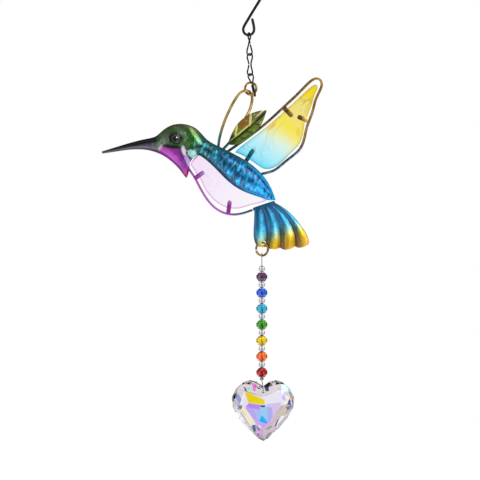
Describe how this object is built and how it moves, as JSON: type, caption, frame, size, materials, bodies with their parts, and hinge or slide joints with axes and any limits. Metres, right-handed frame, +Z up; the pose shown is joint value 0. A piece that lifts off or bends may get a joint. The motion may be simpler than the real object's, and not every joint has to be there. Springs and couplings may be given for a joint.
{
  "type": "hanging sun catcher",
  "caption": "Hummingbird sun catcher: stamped metal bird with glass wing and belly, hook and chain above, beads and a crystal heart below.",
  "frame": {"origin": "underside of the S-hook's crown, where the hook rests on what it hangs from", "axes": "+Z up, +X towards the bird's tail and wing tip, -Y the painted front"},
  "size_m": [0.1582, 0.018, 0.331],
  "materials": {
    "hook_wire": "satin black",
    "chain_wire": "dark blackened wire",
    "ring_bronze": "antique bronze",
    "hanger_wire": "antique gold, teal towards the bird",
    "leaf_paint": "gloss paint, green to olive gold with dark veins",
    "wing_wire": "antique bronze, dark teal towards the bird",
    "wing_glass": "clear wavy glass, yellow to cyan",
    "wing_tab_bronze": "dark bronze",
    "wing_tab_teal": "dark teal",
    "bird_paint": "metallic lacquer, green head, magenta throat, blue back",
    "belly_wire": "magenta to violet blue lacquer",
    "belly_glass": "clear wavy glass, pale pink",
    "belly_tab": "magenta lacquer",
    "tail_paint": "metallic lacquer, blue to gold at the tips",
    "beading_wire": "grey coated steel",
    "clear_bead_glass": "clear",
    "bead_plum": "transparent plum",
    "bead_blue": "transparent royal blue",
    "bead_cyan": "transparent aqua",
    "bead_green": "transparent green",
    "bead_yellow": "transparent yellow",
    "bead_orange": "transparent orange",
    "bead_red": "transparent red",
    "crimp_metal": "silver",
    "heart_crystal": "clear crystal with an iridescent coating"
  },
  "bodies": {
    "root": {"s_hook": "hook_wire", "chain_link_1": "chain_wire", "chain_link_2": "chain_wire", "chain_link_3": "chain_wire", "top_ring": "ring_bronze", "hanger_loop": "hanger_wire", "leaf": "leaf_paint", "wing_frame": "wing_wire", "wing_glass": "wing_glass", "wing_tab_1": "wing_tab_bronze", "wing_tab_2": "wing_tab_bronze", "wing_tab_3": "wing_tab_teal", "bird_body": "bird_paint", "belly_frame": "belly_wire", "belly_glass": "belly_glass", "belly_tab_1": "belly_tab", "belly_tab_2": "belly_tab", "tail": "tail_paint", "tail_ring": "ring_bronze", "beading_wire": "beading_wire", "clear_bead_1": "clear_bead_glass", "rondelle_1": "bead_plum", "clear_bead_2": "clear_bead_glass", "rondelle_2": "bead_blue", "clear_bead_3": "clear_bead_glass", "rondelle_3": "bead_cyan", "clear_bead_4": "clear_bead_glass", "rondelle_4": "bead_green", "clear_bead_5": "clear_bead_glass", "rondelle_5": "bead_yellow", "clear_bead_6": "clear_bead_glass", "rondelle_6": "bead_orange", "clear_bead_7": "clear_bead_glass", "rondelle_7": "bead_red", "crimp": "crimp_metal", "heart": "heart_crystal"}
  },
  "joints": []
}
